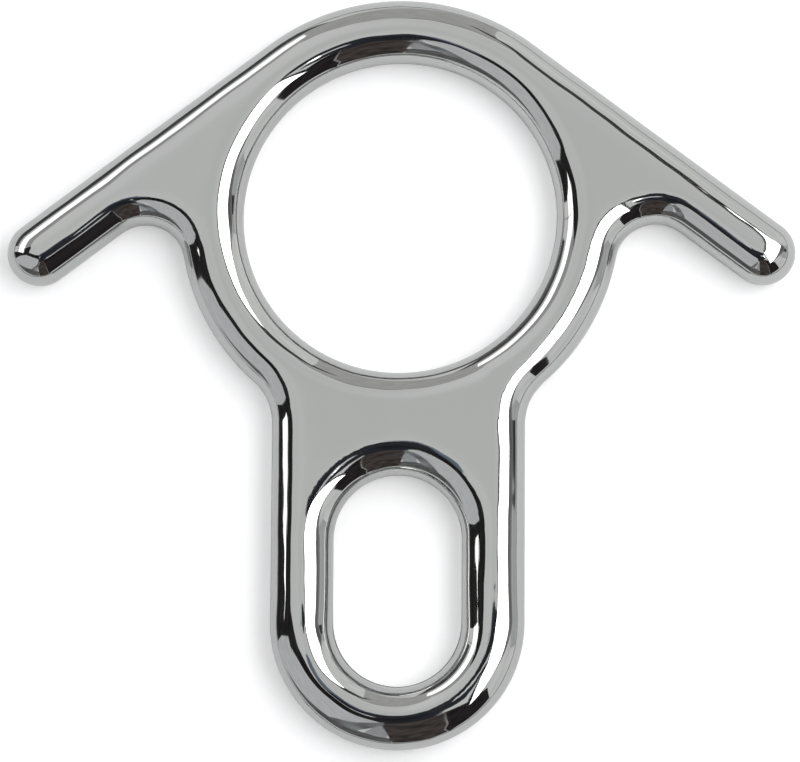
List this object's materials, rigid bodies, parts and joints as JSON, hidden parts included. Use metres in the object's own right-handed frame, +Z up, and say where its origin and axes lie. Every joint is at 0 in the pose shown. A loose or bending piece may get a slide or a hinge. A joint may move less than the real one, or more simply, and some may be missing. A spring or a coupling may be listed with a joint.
{
  "type": "rescue figure eight descender",
  "caption": "Chrome plated steel rescue figure eight descender with a large rope ring, two straight side ears and a long carabiner eye.",
  "frame": {"origin": "centre of the bounding box on the flat back that the descender lies on", "axes": "+X across the ears, +Y from the carabiner eye towards the large ring, +Z up through the thickness, out of the front face"},
  "size_m": [0.1902, 0.1812, 0.0135],
  "materials": {
    "chrome_plated_steel": "mirror polished chrome plate over forged steel"
  },
  "bodies": {
    "root": {"descender_body": "chrome_plated_steel"}
  },
  "joints": []
}
